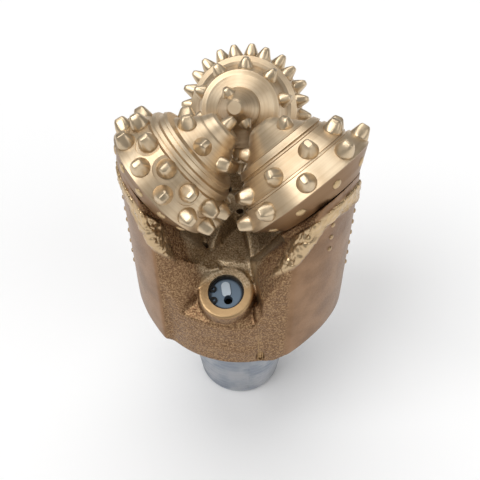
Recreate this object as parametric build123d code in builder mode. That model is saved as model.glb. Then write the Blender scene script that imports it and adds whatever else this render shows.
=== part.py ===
from build123d import *
import math
import os

# Tricone roller bit, in millimetres. z = 0 is the end face of the threaded pin and +Z points to the
# cones. Each leg is drawn in its own frame, with +X radially outward through its journal, and is then
# turned to its azimuth. Cone outlines are (s, q): s runs along the journal towards the nose and q is
# the radius about the journal.

# ---- Bit body -------------------------------------------------------------------------------------
GAUGE_DIAMETER = 152.4
LEGS = 3
FIRST_LEG_AZIMUTH = 90.0
LEG_PITCH = 360 / LEGS
SEAM_LAG = 39.0              # the leg's third starts this far before its centreline
LEG_INSET = 1.6              # leg outer face inside the gauge circle
CORE_INSET = 7.2             # body core inside the gauge circle
ARM_SIDE_LEADING = 33.0      # half widths of the arm, measured from the bit axis
ARM_SIDE_TRAILING = 44.0
GAUGE_RADIUS = GAUGE_DIAMETER / 2
LEG_RADIUS = GAUGE_RADIUS - LEG_INSET
CORE_RADIUS = GAUGE_RADIUS - CORE_INSET

# ---- Threaded pin, 3-1/2 regular ------------------------------------------------------------------
PIN_LENGTH = 95.25
PIN_BASE_DIAMETER = 88.9
PIN_TAPER = 1 / 4            # on diameter
PIN_RELIEF_LENGTH = 12.5
PIN_END_CHAMFER = 3.0
THREAD_PITCH = 5.08
THREAD_DEPTH = 2.9
THREAD_FLAT = 1.0
SHOULDER_DIAMETER = 104.4
SHOULDER_STEP = 1.4
BODY_CHAMFER = 6.5
WATER_COURSE_DIAMETER = 38.0
PLENUM_LENGTH = 23.0         # above the shoulder
PLENUM_ROOF_DIAMETER = 20.0
PLENUM_ROOF_RISE = 9.0

# ---- Dome between the legs, heights above the shoulder --------------------------------------------
DOME_HEIGHT = 84.75
DOME_SHOULDER = (36.0, 70.75)
DOME_FOOT = (52.0, 55.0)
CORE_TOP_HEIGHT = 48.0
CENTRE_HOLE_DEPTH = 12.0
VENT_DIAMETER = 5.0        # of the centre hole too
VENT_DEPTH = 14.0
VENT_RADIUS = 33.0
VENT_ANGLE = 24.7

# ---- Journal ---------------------------------------------------------------------------------------
JOURNAL_ANGLE = 36.0
JOURNAL_INSET = 27.3         # journal datum inside the gauge circle
JOURNAL_HEIGHT = 131.75      # journal datum above the shoulder
JOURNAL_OFFSET = 4.0         # skew of the journal beside the bit axis
MAIN_RADIUS = 19.5
MAIN_END = 7.0
RACE_JOURNAL_RADIUS = 15.5
RACE_JOURNAL_END = 18.0
PILOT_RADIUS = 9.5
PILOT_END = 29.0
ROOT_RADIUS = 31.0
ROOT_FACE = -12.0
JOURNAL_ROOT = 2.0           # the journal's stub inside its root land
ARM_FACE = -17.0
RUNNING_FIT = 0.06           # radial, on the journals
RACE_GAP = 0.5
END_GAP = 0.3
THRUST_GAP = 0.15

BALL_DIAMETER = 9.525
BALL_COUNT = 11
RACE_STATION = 12.6
RACE_RADIUS = 17.0
RACE_CLEARANCE = 0.09
LOADING_HOLE_RADIUS = 5.2
LOADING_HOLE_DROP = 3.2      # hole centre inside the race circle
LOADING_HOLE_MOUTH = -34.0   # station where the hole leaves the leg's back
PASSAGE_JUNCTION = -20.0     # station where the grease passage meets the loading hole
PLUG_CLEARANCE = 0.04
PLUG_INSET = 1.1

# ---- Cone bearing and seal -------------------------------------------------------------------------
CONE_BACK = -11.4
CONE_LIP_RADIUS = 20.6
GLAND_START = -10.6
GLAND_END = -6.6
GLAND_RADIUS = 23.6
SEAL_SECTION_RADIUS = 1.88
SEAL_RUNNING_GAP = 0.12
BUSH_THICKNESS = 3.3
PRESS_CLEARANCE = 0.02
THRUST_DISC_RADIUS = 9.0
THRUST_DISC_THICKNESS = 2.0

# ---- Grease reservoir in the flat low on each leg's back -------------------------------------------
FLAT_FOOT_RADIUS = 53.0      # the 45 degree flat starts here, at the shoulder
RESERVOIR_OFFSET = 14.85     # up the flat from its foot
RESERVOIR_RADIUS = 12.0
RESERVOIR_DEPTH = 26.0
RESERVOIR_CLEARANCE = 0.1
CAP_INSET = 3.5
CAP_THICKNESS = 4.0
CAP_RECESS_RADIUS = 8.0
CAP_VENT_RADIUS = 1.5
DIAPHRAGM_FLANGE = 1.6
DIAPHRAGM_RADIUS = 8.6
DIAPHRAGM_LENGTH = 11.0
RUBBER_WALL = 1.2
CUP_WALL = 1.5
CUP_BORE_RADIUS = 2.0
GREASE_PASSAGE_RADIUS = 2.0
SNAP_RING_WIDTH = 2.4
SNAP_RING_THICKNESS = 1.4
SNAP_GROOVE_DEPTH = 1.0

# ---- Nozzles ---------------------------------------------------------------------------------------
BOSS_LEAD = 60.0             # azimuth of the boss past its leg
BOSS_RADIUS = 18.0
BOSS_REACH = 54.0            # centre of the boss face from the bit axis
BOSS_HEIGHT = 64.75          # above the shoulder
BOSS_TILT = 18.0
BOSS_LENGTH = 52.0
BOSS_INSET = 3.6             # boss side inside the gauge circle
BOSS_EDGE = 1.2
POCKET_RADIUS = 11.5
POCKET_DEPTH = 21.5
NOZZLE_RING_INSET = 4.4
NOZZLE_CLEARANCE = 0.1
NOZZLE_ORIFICE_RADIUS = 2.9
NOZZLE_ORIFICE = (1.9, -3.9)
NOZZLE_THROAT_DEPTH = 6.0
NOZZLE_THROAT_RADIUS = 6.6
NOZZLE_INLET_RADIUS = 8.4
KEY_BAR_LENGTH = 10.0
KEY_BAR_WIDTH = 5.6
KEY_BAR_HEIGHT = 1.2
KEY_BAR_PLACE = (-0.6, 2.6)
KEY_BAR_ANGLE = -72.0
KEY_DIMPLE = (-3.6, 4.6)
KEY_DIMPLE_RADIUS = 0.9
LUG_RADIUS = 2.2
LUG_REACH = 9.0
LUG_HOLE_RADIUS = 0.9
LUG_ANGLES = (169.0, 218.0)
SNAP_GAP_RADIUS = 3.4
O_RING_RADIUS = 1.0
O_RING_CLEARANCE = 0.03
O_RING_DEPTH = 6.0           # below the nozzle's top
FEED_RADIUS = 7.5
FEED_FOOT = (10.0, 15.25)    # radius and height above the shoulder where the feed meets the plenum

# ---- Welds, hardfacing and leg buttons -------------------------------------------------------------
WELD_WIDTH = 6.0
WELD_DEPTH = 4.0
WELD_CROWN = 1.3
WELD_FOOT_HEIGHT = 9.0
CRUST_WIDTH = 5.0            # along the journal
CRUST_DEPTH = 1.5
CRUST_PROUD = 0.4
LEG_BUTTON_RADIUS = 3.0
LEG_BUTTON_DEPTH = 6.0
LEG_BUTTON_CROWN = 0.6
BUTTON_CLEARANCE = 0.02
# (angle from the leg's centreline, lowest height above the shoulder, spacing, count)
LEG_BUTTON_COLUMNS = (
    ((-6.0, 103.0, 10.0, 3), (14.0, 60.0, 9.6, 6)),
    ((-8.0, 52.8, 9.8, 7),),
    ((-5.5, 104.0, 10.0, 3), (23.0, 56.8, 9.6, 6)),
)

# ---- Cones -----------------------------------------------------------------------------------------
CONE_GAUGE_INSET = 1.3       # gauge band inside the gauge circle
GAUGE_BUTTON_RADIUS = 3.0
GAUGE_BUTTON_DEPTH = 4.5
INSERT_CLEARANCE = 0.02
CREST_WIDTH = 3.0
CREST_ROUND = 0.5
FLANK_FOOT = 0.7             # the flats of an insert's crest start this far above the land
ROW_INSERT_DEPTH = 8.0


def row(name, count, station, radius, height, crest, phase=0.0, depth=ROW_INSERT_DEPTH, crater=0.0):
    """One row of inserts; height is above the land, crest is the length of the chisel edge."""
    return dict(name=name, count=count, station=station, radius=radius, height=height,
                crest=crest, phase=phase, depth=depth, crater=crater)


# Each cone: the corner of its gauge band, the rest of its outline to the axis, its gauge buttons and
# its rows. Outlines are (s, q).
CONES = (
    dict(
        corner=-4.5,
        outline=((14.5, 35.0), (16.0, 31.5), (18.5, 29.2), (29.5, 25.2), (31.6, 24.6), (32.6, 21.5),
                 (33.4, 20.0), (36.5, 13.6), (39.0, 13.0), (53.5, 5.4), (55.0, 4.0)),
        buttons=12,
        rows=(
            row("heel_inserts", 12, 1.4, 5.0, 7.4, 6.4),
            row("outer_inserts", 12, 9.6, 5.0, 7.4, 6.4, phase=0.5),
            row("middle_inserts", 10, 24.0, 5.0, 6.2, 6.2, depth=7.0),
            row("nose_inserts", 2, 44.0, 4.2, 4.4, 5.0, phase=0.2, depth=5.0),
        ),
    ),
    dict(
        corner=-4.0,
        outline=((17.0, 34.2), (17.8, 32.2), (19.6, 31.6), (20.2, 32.8), (22.2, 32.0), (22.8, 29.4),
                 (25.0, 28.4), (25.6, 29.2), (27.2, 28.0), (28.0, 23.0), (40.0, 14.6), (41.0, 13.6),
                 (46.6, 11.2), (48.0, 9.5)),
        buttons=12,
        rows=(
            row("heel_inserts", 12, 2.6, 5.6, 7.2, 8.0),
            row("outer_inserts", 12, 13.0, 5.6, 7.2, 8.0, phase=0.5, crater=0.8),
            row("middle_inserts", 7, 33.0, 5.4, 5.8, 7.6, depth=7.0),
            row("nose_inserts", 1, 48.0, 4.5, 6.4, 5.6),
        ),
    ),
    dict(
        corner=-1.0,
        outline=((11.0, 38.5), (11.4, 36.4), (12.4, 36.1), (12.8, 36.7), (24.0, 30.5), (24.6, 29.0),
                 (26.0, 28.2), (26.4, 29.4), (30.0, 27.2), (30.6, 22.4), (44.0, 9.6), (45.4, 7.6),
                 (46.2, 5.0)),
        buttons=9,
        rows=(
            row("heel_inserts", 9, 5.0, 5.6, 7.4, 8.0),
            row("outer_inserts", 9, 17.4, 5.6, 6.6, 7.8, phase=0.5),
            row("nose_inserts", 3, 36.2, 4.8, 5.2, 6.2, depth=6.0),
        ),
    ),
)
CRATER_MARGIN = 2.1

# ---- Derived places --------------------------------------------------------------------------------
SHOULDER = PIN_LENGTH
JOURNAL_REACH = GAUGE_RADIUS - JOURNAL_INSET
JOURNAL_Z = SHOULDER + JOURNAL_HEIGHT
SIN = math.sin(math.radians(JOURNAL_ANGLE))
COS = math.cos(math.radians(JOURNAL_ANGLE))
BUSH_INNER = MAIN_RADIUS + RUNNING_FIT
BUSH_OUTER = BUSH_INNER + BUSH_THICKNESS
BUSH_SEAT = BUSH_OUTER + PRESS_CLEARANCE
BUSH_END = MAIN_END + END_GAP
RACE_BORE = RACE_JOURNAL_RADIUS + RACE_GAP
PILOT_BORE = PILOT_RADIUS + RUNNING_FIT
GROOVE_RADIUS = BALL_DIAMETER / 2 + RACE_CLEARANCE
THRUST_START = PILOT_END + THRUST_GAP
THRUST_END = THRUST_START + THRUST_DISC_THICKNESS
BIG = 4 * GAUGE_RADIUS       # reach of construction solids that only trim others
UPWARD = (Align.CENTER, Align.CENTER, Align.MIN)


# ---- Frames ----------------------------------------------------------------------------------------
def turn(leg):
    """The place of a leg's own frame in the bit."""
    return Location((0, 0, 0), (0, 0, FIRST_LEG_AZIMUTH + leg * LEG_PITCH))


def journal_point(s, q):
    """A point of the journal's section in the leg frame."""
    return (JOURNAL_REACH - s * COS + q * SIN, JOURNAL_OFFSET, JOURNAL_Z + s * SIN + q * COS)


def journal_section():
    """Section plane through the journal: local x is s and local y is q."""
    return Plane(origin=journal_point(0, 0), x_dir=(-COS, 0, SIN), z_dir=(0, 1, 0))


def journal_axis():
    section = journal_section()
    return Axis(section.origin, section.x_dir)


def side_section():
    """Section plane through the bit axis and the leg's centreline: local x is radius, local y is z."""
    return Plane(origin=(0, 0, 0), x_dir=(1, 0, 0), z_dir=(0, -1, 0))


def radial_plane(angle, radius, z):
    """A plane whose z points outward, at an angle from the leg's centreline."""
    a = math.radians(angle)
    out = (math.cos(a), math.sin(a), 0)
    return Plane(origin=(radius * out[0], radius * out[1], z), x_dir=(0, 0, 1), z_dir=out)


def reservoir_plane():
    """Centre of the flat on the leg's back, z outward and x up the flat."""
    run = RESERVOIR_OFFSET / math.sqrt(2)
    origin = (FLAT_FOOT_RADIUS + run, 0, SHOULDER + run)
    return Plane(origin=origin, x_dir=(1, 0, 1), z_dir=(1, 0, -1))


def boss_plane():
    """Centre of the nozzle boss face, z outward along the nozzle and x round the bit."""
    a = math.radians(BOSS_LEAD)
    tilt = math.radians(BOSS_TILT)
    axis = (math.sin(tilt) * math.cos(a), math.sin(tilt) * math.sin(a), math.cos(tilt))
    origin = (BOSS_REACH * math.cos(a), BOSS_REACH * math.sin(a), SHOULDER + BOSS_HEIGHT)
    return Plane(origin=origin, x_dir=(-math.sin(a), math.cos(a), 0), z_dir=axis)


def axis_of(plane):
    return Axis(plane.origin, plane.z_dir)


# ---- Shape helpers ---------------------------------------------------------------------------------
def turned(plane, axis, outline):
    """A solid of revolution from a closed outline in a section plane."""
    with BuildPart() as piece:
        with BuildSketch(plane):
            with BuildLine():
                Polyline(*outline, close=True)
            make_face()
        revolve(axis=axis)
    return piece.part


def on_journal(outline):
    return turned(journal_section(), journal_axis(), outline)


def on_journal_with_race(outline):
    """As on_journal, with the balls' groove cut in the outline."""
    with BuildPart() as piece:
        with BuildSketch(journal_section()):
            with BuildLine():
                Polyline(*outline, close=True)
            make_face()
            with Locations((RACE_STATION, RACE_RADIUS)):
                Circle(GROOVE_RADIUS, mode=Mode.SUBTRACT)
        revolve(axis=journal_axis())
    return piece.part


def along(plane, outline):
    """A solid turned about a plane's z axis; the outline is (radius, height)."""
    section = Plane(origin=plane.origin, x_dir=plane.x_dir, z_dir=-plane.y_dir)
    return turned(section, axis_of(plane), outline)


def torus_at(station, major, minor):
    with BuildPart() as piece:
        with BuildSketch(journal_section()):
            with Locations((station, major)):
                Circle(minor)
        revolve(axis=journal_axis())
    return piece.part


def prism(plane, outline, reach=BIG):
    """A prism to both sides of a plane."""
    with BuildPart() as piece:
        with BuildSketch(plane):
            with BuildLine():
                Polyline(*outline, close=True)
            make_face()
        extrude(amount=reach, both=True)
    return piece.part


def write(name, solids):
    """Write a named piece, or a named group of like pieces, as one file."""
    with BuildPart() as piece:
        add(solids)
    piece.part.label = name
    export_step(piece.part, f"parts/{name}.step")


# ---- Leg -------------------------------------------------------------------------------------------
def thread_outline():
    """Crests and roots of the pin from its end to the relief, as (radius, z)."""
    points = []
    flank = (THREAD_PITCH - 2 * THREAD_FLAT) / 2
    z = PIN_END_CHAMFER + THREAD_FLAT
    while z + THREAD_PITCH < PIN_LENGTH - PIN_RELIEF_LENGTH:
        stations = (z, z + THREAD_FLAT, z + THREAD_FLAT + flank, z + 2 * THREAD_FLAT + flank)
        depths = (0, 0, THREAD_DEPTH, THREAD_DEPTH)
        points += [(pin_radius(at) - depth, at) for at, depth in zip(stations, depths)]
        z += THREAD_PITCH
    return points


def pin_radius(z):
    return PIN_BASE_DIAMETER / 2 - (PIN_LENGTH - z) * PIN_TAPER / 2


def body_outline():
    """Half section of the pin, the core and the dome, as (radius, z)."""
    relief = PIN_LENGTH - PIN_RELIEF_LENGTH
    seal = SHOULDER_DIAMETER / 2
    return [
        (0, 0), (pin_radius(0) - PIN_END_CHAMFER, 0), (pin_radius(PIN_END_CHAMFER), PIN_END_CHAMFER),
        *thread_outline(),
        (pin_radius(relief), relief), (pin_radius(relief), PIN_LENGTH - 1),
        (PIN_BASE_DIAMETER / 2, PIN_LENGTH),
        (seal, SHOULDER), (seal + SHOULDER_STEP, SHOULDER + SHOULDER_STEP),
        (CORE_RADIUS - BODY_CHAMFER, SHOULDER + SHOULDER_STEP),
        (CORE_RADIUS, SHOULDER + SHOULDER_STEP + BODY_CHAMFER),
        (CORE_RADIUS, SHOULDER + CORE_TOP_HEIGHT),
        (DOME_FOOT[0], SHOULDER + DOME_FOOT[1]), (DOME_SHOULDER[0], SHOULDER + DOME_SHOULDER[1]),
        (DOME_SHOULDER[0] * 0.55, SHOULDER + DOME_HEIGHT - 2), (0, SHOULDER + DOME_HEIGHT),
    ]


def water_course():
    """The bore up the pin and the plenum over it."""
    bore = WATER_COURSE_DIAMETER / 2
    wall_top = SHOULDER + PLENUM_LENGTH
    roof = wall_top + PLENUM_ROOF_RISE
    outline = ((0, -1), (bore, -1), (bore, wall_top), (PLENUM_ROOF_DIAMETER / 2, roof), (0, roof))
    return along(Plane.XY, outline)


def body_third():
    """The leg's share of the pin, the core and the dome."""
    with BuildPart() as third:
        add(along(Plane.XY, body_outline()))
        add(sector(), mode=Mode.INTERSECT)
    return third.part


def sector():
    """The wedge between the leg's two seams."""
    corners = [(0, 0)]
    for angle in (-SEAM_LAG, LEG_PITCH / 2 - SEAM_LAG, LEG_PITCH - SEAM_LAG):
        a = math.radians(angle)
        corners.append((BIG * math.cos(a), BIG * math.sin(a)))
    return prism(Plane.XY, corners)


def beyond(station, reach=BIG):
    """Everything behind a plane square to the journal, on the leg's back side."""
    outline = ((station - reach, -reach), (station, -reach), (station, reach), (station - reach, reach))
    return prism(journal_section(), outline)


def arm_column(radius):
    """The arm's plan, straight up through the body: a strip of a disc."""
    foot = SHOULDER + SHOULDER_STEP + BODY_CHAMFER
    centre = (ARM_SIDE_LEADING - ARM_SIDE_TRAILING) / 2
    with BuildPart() as column:
        with BuildSketch(Plane.XY.offset(foot)):
            Circle(radius)
            with Locations((radius / 2, centre)):
                Rectangle(radius, ARM_SIDE_LEADING + ARM_SIDE_TRAILING, mode=Mode.INTERSECT)
        extrude(amount=GAUGE_DIAMETER)
    return column.part


def arm():
    """The arm up to the face behind the cone, with the round root land of the journal."""
    root = ((ARM_FACE - ROOT_RADIUS, 0), (ROOT_FACE, 0), (ROOT_FACE, ROOT_RADIUS),
            (ARM_FACE - ROOT_RADIUS, ROOT_RADIUS))
    with BuildPart() as back:
        add(beyond(ARM_FACE))
        add(on_journal(root))
    with BuildPart() as piece:
        add(arm_column(LEG_RADIUS))
        add(back.part, mode=Mode.INTERSECT)
        add(sector(), mode=Mode.INTERSECT)
    return piece.part


def crust():
    """The hardfaced band round the arm's outer edge, let into the arm."""
    with BuildPart() as band:
        add(arm_column(LEG_RADIUS + CRUST_PROUD))
        add(rod(Plane.XY, LEG_RADIUS - CRUST_DEPTH, 0, BIG), mode=Mode.SUBTRACT)
        add(beyond(ARM_FACE), mode=Mode.INTERSECT)
        add(beyond(ARM_FACE - CRUST_WIDTH), mode=Mode.SUBTRACT)
    return band.part


def boss():
    plane = boss_plane()
    outline = ((0, 0), (BOSS_RADIUS - BOSS_EDGE, 0), (BOSS_RADIUS, -BOSS_EDGE), (BOSS_RADIUS, -BOSS_LENGTH),
               (0, -BOSS_LENGTH))
    limit = GAUGE_RADIUS - BOSS_INSET
    with BuildPart() as piece:
        add(along(plane, outline))
        with BuildSketch(Plane.XY.offset(SHOULDER + SHOULDER_STEP + BODY_CHAMFER)):
            Circle(limit)
        extrude(amount=GAUGE_DIAMETER, mode=Mode.INTERSECT)
        add(sector(), mode=Mode.INTERSECT)
    return piece.part


def weld(angle):
    """A filled V along a seam, at an angle from the leg's centreline."""
    a = math.radians(angle)
    foot = SHOULDER + WELD_FOOT_HEIGHT
    half = WELD_WIDTH / 2
    side = math.sqrt(CORE_RADIUS**2 - half**2)
    out = (math.cos(a), math.sin(a), 0)
    plane = Plane(origin=(0, 0, foot), x_dir=out, z_dir=(0, 0, 1))
    with BuildPart() as bead:
        with BuildSketch(plane):
            with BuildLine():
                Polyline((side, -half), (CORE_RADIUS - WELD_DEPTH, 0), (side, half))
                ThreePointArc((side, half), (CORE_RADIUS + WELD_CROWN, 0), (side, -half))
            make_face()
        extrude(amount=CORE_TOP_HEIGHT - WELD_FOOT_HEIGHT - 1)
    return bead.part


def journal():
    outline = (
        (ROOT_FACE - JOURNAL_ROOT, 0), (ROOT_FACE - JOURNAL_ROOT, MAIN_RADIUS), (MAIN_END, MAIN_RADIUS),
        (MAIN_END, RACE_JOURNAL_RADIUS), (RACE_JOURNAL_END, RACE_JOURNAL_RADIUS),
        (RACE_JOURNAL_END, PILOT_RADIUS), (PILOT_END, PILOT_RADIUS), (PILOT_END, 0),
    )
    return on_journal_with_race(outline)


def loading_line():
    """The ball-loading hole: from the race's lower side out through the leg's back."""
    section = journal_section()
    inner = section.from_local_coords((RACE_STATION, LOADING_HOLE_DROP - RACE_RADIUS, 0))
    mouth = section.from_local_coords((LOADING_HOLE_MOUTH, 0, 0))
    return Plane(origin=inner, x_dir=section.z_dir, z_dir=mouth - inner), (mouth - inner).length


def rod(plane, radius, start, end):
    """A round bar along a plane's z axis."""
    return along(plane, ((0, start), (radius, start), (radius, end), (0, end)))


def bar_between(start, end, radius):
    """A round bar between two points of the leg frame."""
    a = (Location(start)).position
    b = (Location(end)).position
    return rod(Plane(origin=a, z_dir=b - a), radius, 0, (b - a).length)


def feed(lead):
    """The flow passage from the plenum to the nozzle pocket at this azimuth past the leg."""
    a = math.radians(lead)
    tilt = math.radians(BOSS_TILT)
    top = (BOSS_REACH - POCKET_DEPTH * math.sin(tilt), SHOULDER + BOSS_HEIGHT - POCKET_DEPTH * math.cos(tilt))
    foot = (FEED_FOOT[0], SHOULDER + FEED_FOOT[1])
    ends = [(r * math.cos(a), r * math.sin(a), z) for r, z in (foot, top)]
    return bar_between(*ends, FEED_RADIUS)


def grease_passage():
    """From the reservoir's floor up the arm to the ball-loading hole."""
    run = (RESERVOIR_OFFSET - RESERVOIR_DEPTH) / math.sqrt(2)
    rise = (RESERVOIR_OFFSET + RESERVOIR_DEPTH) / math.sqrt(2)
    floor = (FLAT_FOOT_RADIUS + run, 0, SHOULDER + rise)
    fraction = (PASSAGE_JUNCTION - LOADING_HOLE_MOUTH) / (RACE_STATION - LOADING_HOLE_MOUTH)
    junction = journal_point(PASSAGE_JUNCTION, (LOADING_HOLE_DROP - RACE_RADIUS) * fraction)
    return bar_between(floor, junction, GREASE_PASSAGE_RADIUS)


def snap_groove(plane, bore, inset):
    """The ring groove whose lower side is at this inset below the plane."""
    return rod(plane, bore + SNAP_GROOVE_DEPTH, -inset, -inset + SNAP_RING_THICKNESS)


def button_places(leg):
    places = []
    for angle, height, spacing, count in LEG_BUTTON_COLUMNS[leg]:
        places += [radial_plane(angle, LEG_RADIUS, SHOULDER + height + k * spacing) for k in range(count)]
    return places


def leg_blank():
    """A whole leg with its third of the pin, before the holes for its buttons."""
    flat = ((FLAT_FOOT_RADIUS, SHOULDER), (FLAT_FOOT_RADIUS + BIG, SHOULDER + BIG),
            (FLAT_FOOT_RADIUS + BIG, SHOULDER - 1), (FLAT_FOOT_RADIUS, SHOULDER - 1))
    nozzle = boss_plane()
    reservoir = reservoir_plane()
    loading, loading_length = loading_line()
    vent = radial_plane(VENT_ANGLE, VENT_RADIUS, SHOULDER + DOME_SHOULDER[1] - VENT_DEPTH)
    with BuildPart() as body:
        add(body_third())
        add(arm())
        add(boss())
        add(journal())
        add(water_course(), mode=Mode.SUBTRACT)
        # the flat low on the back, the reservoir in it and the passages up to the bearing
        add(prism(side_section(), flat), mode=Mode.SUBTRACT)
        add(rod(reservoir, RESERVOIR_RADIUS, -RESERVOIR_DEPTH, 1), mode=Mode.SUBTRACT)
        add(snap_groove(reservoir, RESERVOIR_RADIUS, CAP_INSET), mode=Mode.SUBTRACT)
        add(grease_passage(), mode=Mode.SUBTRACT)
        add(rod(loading, LOADING_HOLE_RADIUS, 0, loading_length), mode=Mode.SUBTRACT)
        # the nozzle pocket and the flow passages, the neighbour's included where it crosses the seam
        add(rod(nozzle, POCKET_RADIUS, -POCKET_DEPTH, 1), mode=Mode.SUBTRACT)
        add(snap_groove(nozzle, POCKET_RADIUS, NOZZLE_RING_INSET), mode=Mode.SUBTRACT)
        add(feed(BOSS_LEAD), mode=Mode.SUBTRACT)
        add(feed(BOSS_LEAD - LEG_PITCH), mode=Mode.SUBTRACT)
        # weld grooves, the hardfacing's recess and the small holes
        add(weld(-SEAM_LAG), mode=Mode.SUBTRACT)
        add(weld(LEG_PITCH - SEAM_LAG), mode=Mode.SUBTRACT)
        add(crust(), mode=Mode.SUBTRACT)
        with Locations((0, 0, SHOULDER + DOME_HEIGHT - CENTRE_HOLE_DEPTH), vent.origin):
            Cylinder(VENT_DIAMETER / 2, DOME_HEIGHT, align=UPWARD, mode=Mode.SUBTRACT)
    return body.part


def leg_with_holes(leg, blank):
    with BuildPart() as body:
        add(blank)
        with Locations(*button_places(leg)):
            Cylinder(LEG_BUTTON_RADIUS + BUTTON_CLEARANCE, 2 * LEG_BUTTON_DEPTH, mode=Mode.SUBTRACT)
    return body.part


def leg_buttons(leg):
    with BuildPart() as buttons:
        with Locations(*[place.offset(-LEG_BUTTON_DEPTH) for place in button_places(leg)]):
            Cylinder(LEG_BUTTON_RADIUS, LEG_BUTTON_DEPTH + LEG_BUTTON_CROWN, align=UPWARD)
    return buttons.part


def ball_plug():
    """Fills the loading hole behind the balls, flush with the journal and inside the leg's back."""
    loading, length = loading_line()
    inside = ((-BIG, 0), (-BIG, BIG), (ROOT_FACE, BIG), (ROOT_FACE, MAIN_RADIUS), (MAIN_END, MAIN_RADIUS),
              (MAIN_END, RACE_JOURNAL_RADIUS), (RACE_JOURNAL_END, RACE_JOURNAL_RADIUS), (RACE_JOURNAL_END, 0))
    with BuildPart() as plug:
        add(rod(loading, LOADING_HOLE_RADIUS - PLUG_CLEARANCE, 0, length))
        add(torus_at(RACE_STATION, RACE_RADIUS, GROOVE_RADIUS), mode=Mode.SUBTRACT)
        add(on_journal(inside), mode=Mode.INTERSECT)
        add(rod(Plane.XY, LEG_RADIUS - PLUG_INSET, 0, BIG), mode=Mode.INTERSECT)
    return plug.part


# ---- Grease reservoir ------------------------------------------------------------------------------
def reservoir_pieces():
    """The cap, the rubber diaphragm and the cup under it, by name."""
    plane = reservoir_plane()
    outer = RESERVOIR_RADIUS - RESERVOIR_CLEARANCE
    cap_floor = -CAP_INSET - CAP_THICKNESS
    flange_floor = cap_floor - DIAPHRAGM_FLANGE
    bag_floor = flange_floor - DIAPHRAGM_LENGTH
    bag_inner = DIAPHRAGM_RADIUS - RUBBER_WALL
    cup_floor = -RESERVOIR_DEPTH
    cup_inner = outer - CUP_WALL
    cap_outline = ((CAP_VENT_RADIUS, -CAP_INSET - 1), (CAP_RECESS_RADIUS, -CAP_INSET - 1),
                   (CAP_RECESS_RADIUS, -CAP_INSET), (outer, -CAP_INSET), (outer, cap_floor),
                   (CAP_VENT_RADIUS, cap_floor))
    bag_outline = ((0, bag_floor), (DIAPHRAGM_RADIUS, bag_floor), (DIAPHRAGM_RADIUS, flange_floor),
                   (outer, flange_floor), (outer, cap_floor), (bag_inner, cap_floor),
                   (bag_inner, bag_floor + RUBBER_WALL), (0, bag_floor + RUBBER_WALL))
    cup_outline = ((CUP_BORE_RADIUS, cup_floor), (outer, cup_floor), (outer, flange_floor),
                   (cup_inner, flange_floor), (cup_inner, cup_floor + CUP_WALL),
                   (CUP_BORE_RADIUS, cup_floor + CUP_WALL))
    return {"reservoir_cap": along(plane, cap_outline), "compensator_diaphragm": along(plane, bag_outline),
            "grease_reservoir_cup": along(plane, cup_outline)}


def snap_ring(plane, bore, inset):
    """An internal retaining ring with two eyed lugs, its lower side at this inset below the plane."""
    outer = bore + SNAP_GROOVE_DEPTH - PRESS_CLEARANCE
    gap = math.radians(sum(LUG_ANGLES) / 2)
    lugs = [(LUG_REACH * bore / POCKET_RADIUS * math.cos(math.radians(angle)),
             LUG_REACH * bore / POCKET_RADIUS * math.sin(math.radians(angle))) for angle in LUG_ANGLES]
    with BuildPart() as ring:
        with BuildSketch(plane.offset(-inset)):
            Circle(outer)
            Circle(outer - SNAP_RING_WIDTH, mode=Mode.SUBTRACT)
            with Locations((bore * math.cos(gap), bore * math.sin(gap))):
                Circle(SNAP_GAP_RADIUS, mode=Mode.SUBTRACT)
            with Locations(*lugs):
                Circle(LUG_RADIUS)
                Circle(LUG_HOLE_RADIUS, mode=Mode.SUBTRACT)
        extrude(amount=SNAP_RING_THICKNESS)
    return ring.part


# ---- Nozzles ---------------------------------------------------------------------------------------
def nozzle():
    plane = boss_plane()
    radius = POCKET_RADIUS - NOZZLE_CLEARANCE
    top = -NOZZLE_RING_INSET
    ring_top = top - O_RING_DEPTH + O_RING_RADIUS
    ring_floor = ring_top - 2 * O_RING_RADIUS
    throat = top - NOZZLE_THROAT_DEPTH
    outline = ((0, top), (radius, top), (radius, ring_top), (o_ring_seat(), ring_top),
               (o_ring_seat(), ring_floor), (radius, ring_floor), (radius, -POCKET_DEPTH),
               (NOZZLE_INLET_RADIUS, -POCKET_DEPTH), (NOZZLE_THROAT_RADIUS, throat), (0, throat))
    with BuildPart() as body:
        add(along(plane, outline))
        with BuildSketch(plane.offset(top)):
            with Locations(Location((*KEY_BAR_PLACE, 0), (0, 0, KEY_BAR_ANGLE))):
                SlotOverall(KEY_BAR_LENGTH, KEY_BAR_WIDTH)
        extrude(amount=KEY_BAR_HEIGHT)
        with BuildSketch(plane.offset(top + 2 * KEY_BAR_HEIGHT)):
            with Locations(NOZZLE_ORIFICE):
                Circle(NOZZLE_ORIFICE_RADIUS)
        extrude(amount=-NOZZLE_THROAT_DEPTH - 3 * KEY_BAR_HEIGHT, mode=Mode.SUBTRACT)
        with BuildSketch(plane.offset(top)):
            with Locations(KEY_DIMPLE):
                Circle(KEY_DIMPLE_RADIUS)
        extrude(amount=-KEY_BAR_HEIGHT, mode=Mode.SUBTRACT)
    return body.part


def o_ring_seat():
    """Floor radius of the nozzle's seal groove, which the ring fills out to the pocket's wall."""
    return POCKET_RADIUS - O_RING_CLEARANCE - 2 * O_RING_RADIUS


def o_ring():
    centre = -NOZZLE_RING_INSET - O_RING_DEPTH
    plane = boss_plane()
    section = Plane(origin=plane.origin, x_dir=plane.x_dir, z_dir=-plane.y_dir)
    with BuildPart() as ring:
        with BuildSketch(section):
            with Locations((o_ring_seat() + O_RING_RADIUS, centre)):
                Circle(O_RING_RADIUS - PRESS_CLEARANCE)
        revolve(axis=axis_of(plane))
    return ring.part


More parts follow.
